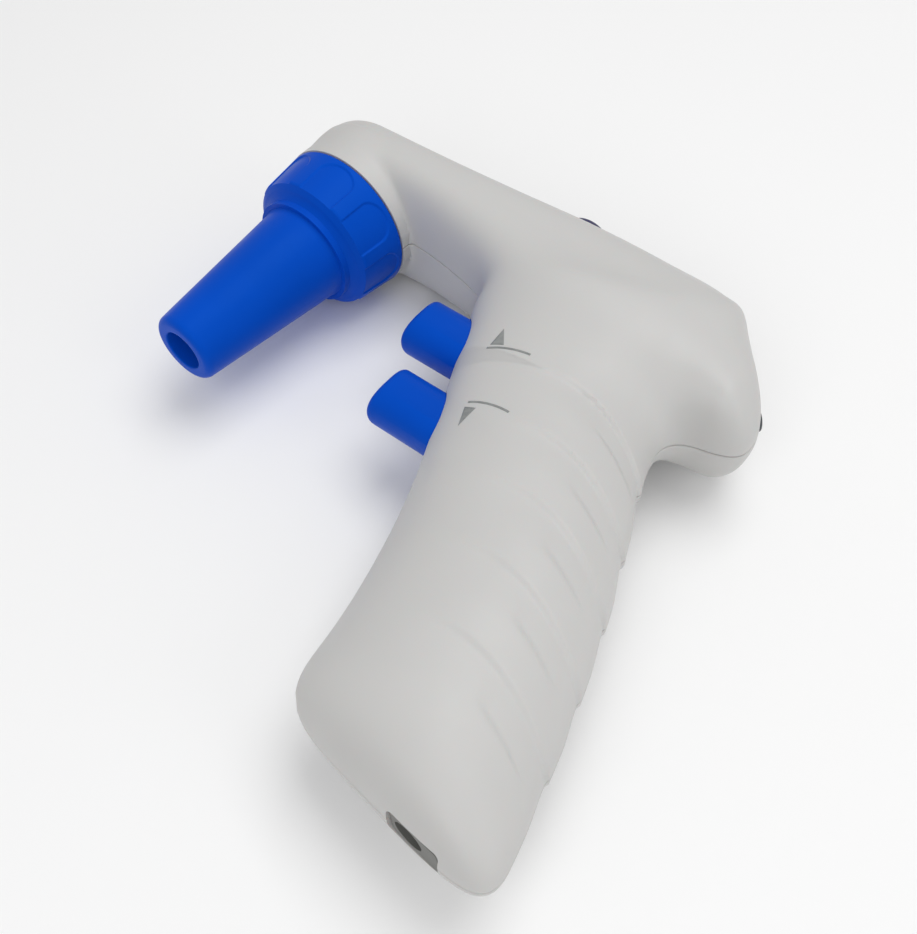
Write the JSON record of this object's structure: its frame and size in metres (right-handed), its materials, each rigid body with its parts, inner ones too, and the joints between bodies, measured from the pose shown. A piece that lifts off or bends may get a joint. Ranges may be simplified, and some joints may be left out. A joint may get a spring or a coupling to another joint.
{
  "type": "motorized pipette controller",
  "caption": "Pistol-grip motorized pipette controller: cone nosepiece for serological pipettes, aspirate and dispense triggers, mode switch, inner pump, valves, battery and charging socket.",
  "frame": {"origin": "centre of the footprint with the controller lying on its right side, at the height of its lowest point", "axes": "+X rearwards along the head, +Y up as the controller is held (the nose hangs along -Y), +Z to its left, which is up as it lies; Z runs across the plane where the housing halves meet"},
  "size_m": [0.1516, 0.1422, 0.0394],
  "materials": {
    "housing_grey": "satin",
    "blue_plastic": "satin",
    "silicone": "matt, milky",
    "filter_white": "matt membrane",
    "white_plastic": "matt",
    "black_rubber": "matt",
    "steel": "brushed",
    "brass": "machined",
    "dark_plastic": "matt",
    "navy_plastic": "satin gloss",
    "plate_grey": "matt",
    "lens": "smoked, polished",
    "board_green": "solder mask",
    "cell_sleeve": "shrink sleeve",
    "foam": "open-cell foam",
    "lead_red": "smooth insulation",
    "lead_black": "smooth insulation"
  },
  "bodies": {
    "housing": {"housing_left": "housing_grey", "housing_right": "housing_grey", "filter_seat": "white_plastic", "nose_o_ring": "black_rubber", "aspirate_spring": "steel", "dispense_spring": "steel", "aspirate_valve_seal": "black_rubber", "dispense_valve_seal": "black_rubber", "aspirate_motor_switch": "dark_plastic", "dispense_motor_switch": "dark_plastic", "valve_block": "white_plastic", "pump_head": "white_plastic", "pump_motor": "steel", "motor_cushion": "foam", "nose_tube": "silicone", "suction_tube": "silicone", "pressure_tube": "silicone", "battery_cell_1": "cell_sleeve", "battery_cell_2": "cell_sleeve", "battery_cradle": "dark_plastic", "battery_link_top": "brass", "battery_link_bottom": "brass", "circuit_board": "board_green", "control_chip": "dark_plastic", "charging_jack": "dark_plastic", "socket_plate": "plate_grey", "motor_lead_red": "lead_red", "motor_lead_black": "lead_black", "mode_switch": "dark_plastic", "indicator_lens": "lens", "indicator_diode": "white_plastic", "housing_screw_1": "steel", "housing_screw_2": "steel", "housing_screw_3": "steel", "housing_screw_4": "steel", "housing_screw_5": "steel"},
    "aspirate_trigger": {"aspirate_trigger": "blue_plastic", "aspirate_valve_stem": "brass"},
    "dispense_trigger": {"dispense_trigger": "blue_plastic", "dispense_valve_stem": "brass"},
    "mode_knob": {"mode_knob": "navy_plastic"},
    "nose_insert": {"pipette_holder": "silicone", "membrane_filter": "filter_white"},
    "nosepiece": {"nosepiece": "blue_plastic"},
    "pump_shaft": {"motor_shaft": "steel", "pump_eccentric": "dark_plastic"}
  },
  "joints": [
    {"name": "aspirate_press", "type": "slide", "parent": "housing", "child": "aspirate_trigger", "axis": [1, 0, 0], "range_m": [0, 0.0035], "stiffness_N_per_m": 600, "springref_m": -0.0015, "deforming": ["aspirate_spring"]},
    {"name": "dispense_press", "type": "slide", "parent": "housing", "child": "dispense_trigger", "axis": [1, 0, 0], "range_m": [0, 0.0035], "stiffness_N_per_m": 600, "springref_m": -0.0015, "deforming": ["dispense_spring"]},
    {"name": "mode_slide", "type": "slide", "parent": "housing", "child": "mode_knob", "axis": [1, 0, 0], "range_m": [-0.002, 0.002]},
    {"name": "nose_lift", "type": "slide", "parent": "housing", "child": "nose_insert", "axis": [0, -1, 0], "range_m": [0, 0.014]},
    {"name": "nose_turn", "type": "hinge", "parent": "nose_insert", "child": "nosepiece", "pos_m": [-0.05607, -0.01604, 0.01971], "axis": [0, -1, 0], "range_deg": [0, 1440]},
    {"name": "pump_spin", "type": "hinge", "parent": "housing", "child": "pump_shaft", "pos_m": [0.02053, 0.04946, 0.01971], "axis": [1, 0, 0], "continuous": true}
  ],
  "couplings": [
    {"joint": "nose_turn", "follows": "nose_lift", "rad_per_m": 1795.2}
  ]
}
